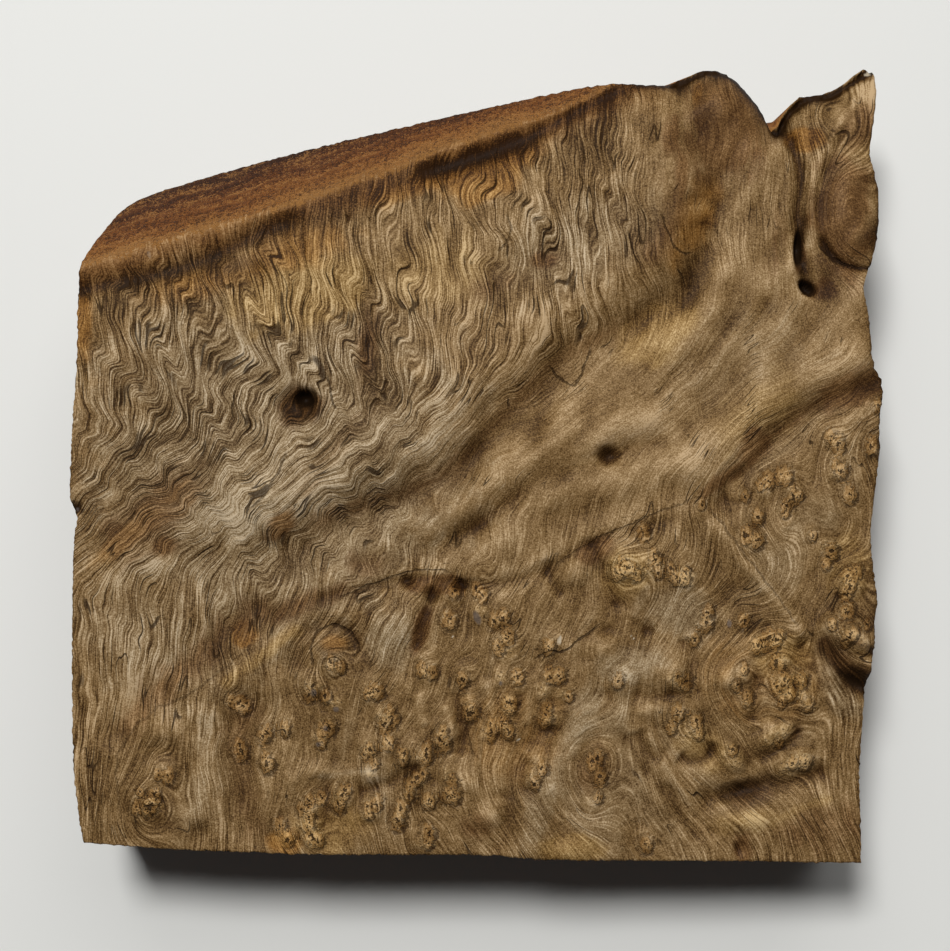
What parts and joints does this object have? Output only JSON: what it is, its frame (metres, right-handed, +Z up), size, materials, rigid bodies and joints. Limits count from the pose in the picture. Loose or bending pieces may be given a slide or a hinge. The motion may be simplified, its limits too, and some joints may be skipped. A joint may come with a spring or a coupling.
{
  "type": "mallee burl bowl blank",
  "caption": "Square burl bowl blank: flat sawn base, straight sawn sides, a slanting cut at one back corner, and the burl's natural lumpy, bud-eyed skin left on top.",
  "frame": {"origin": "middle of the bounding box, on the sawn base", "axes": "+Z up out of the natural skin; +X to the right and +Y to the back of the blank as it is looked down on, with the slanting cut at the back left"},
  "size_m": [0.178, 0.176, 0.0581],
  "materials": {
    "burl_wood": "dry and unfinished: weathered natural skin on top, sawn base and sides"
  },
  "bodies": {
    "root": {"burl_blank": "burl_wood"}
  },
  "joints": []
}
